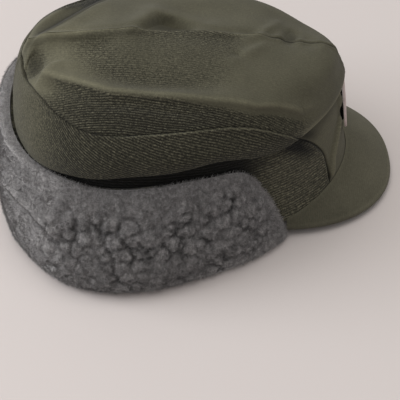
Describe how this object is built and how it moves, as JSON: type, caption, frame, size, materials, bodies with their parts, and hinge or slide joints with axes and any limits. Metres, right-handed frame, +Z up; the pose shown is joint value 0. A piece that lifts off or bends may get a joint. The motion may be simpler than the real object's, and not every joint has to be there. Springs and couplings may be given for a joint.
{
  "type": "winter field cap",
  "caption": "Soft olive twill field cap with a two-piece top, crescent side panels, a sloping visor, a round front badge and a pile-faced ear flap turned up around the sides and back",
  "frame": {"origin": "centre of the bounding box on the table the cap rests on", "axes": "+X the wearer's left, +Y to the back of the cap, +Z up; the visor points to -Y"},
  "size_m": [0.2322, 0.2794, 0.1318],
  "materials": {
    "twill": "matte olive wool-blend twill",
    "visor_cloth": "matte olive twill pulled smooth over a board",
    "grey_pile": "curly grey pile",
    "black_felt": "matte black felt",
    "badge_plate": "pale satin"
  },
  "bodies": {
    "root": {"crown_right": "twill", "crown_left": "twill", "yoke_right": "twill", "yoke_left": "twill", "band_right": "twill", "band_left": "twill", "band_front": "twill", "visor": "visor_cloth", "flap_cloth": "twill", "flap_pile": "grey_pile", "badge_backing": "black_felt", "badge": "badge_plate"}
  },
  "joints": []
}
